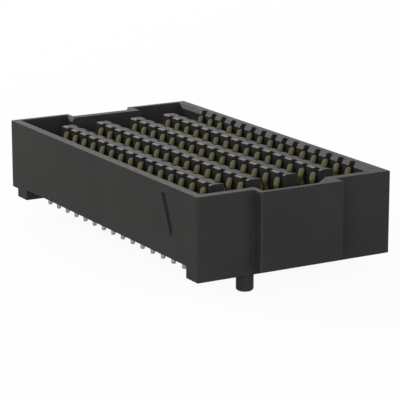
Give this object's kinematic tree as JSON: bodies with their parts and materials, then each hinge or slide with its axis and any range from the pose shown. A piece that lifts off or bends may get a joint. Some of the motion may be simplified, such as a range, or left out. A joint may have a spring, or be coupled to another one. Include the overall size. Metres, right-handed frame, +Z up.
{
  "type": "board to board connector",
  "caption": "Surface-mount array socket: a keyed black shroud with ribs, rows of gold spring contacts, solder ends below and two locating posts.",
  "frame": {"origin": "middle of the contact array on the board's surface, which the feet and the solder ends stand on", "axes": "+X along the rows towards the end whose key stands out, +Y across the rows away from the marked wall, +Z up from the board towards the mating side"},
  "size_m": [0.0256, 0.0132, 0.006],
  "materials": {
    "housing": "moulded, fine matte",
    "contact": "gold plated, satin",
    "solder": "solder, dull"
  },
  "bodies": {
    "root": {"housing": "housing", "contact_row_1": "contact", "contact_row_2": "contact", "contact_row_3": "contact", "contact_row_4": "contact", "contact_row_5": "contact", "contact_row_6": "contact", "contact_row_7": "contact", "contact_row_8": "contact", "contact_row_9": "contact", "contact_row_10": "contact", "solder_row_1": "solder", "solder_row_2": "solder", "solder_row_3": "solder", "solder_row_4": "solder", "solder_row_5": "solder", "solder_row_6": "solder", "solder_row_7": "solder", "solder_row_8": "solder", "solder_row_9": "solder", "solder_row_10": "solder"}
  },
  "joints": []
}
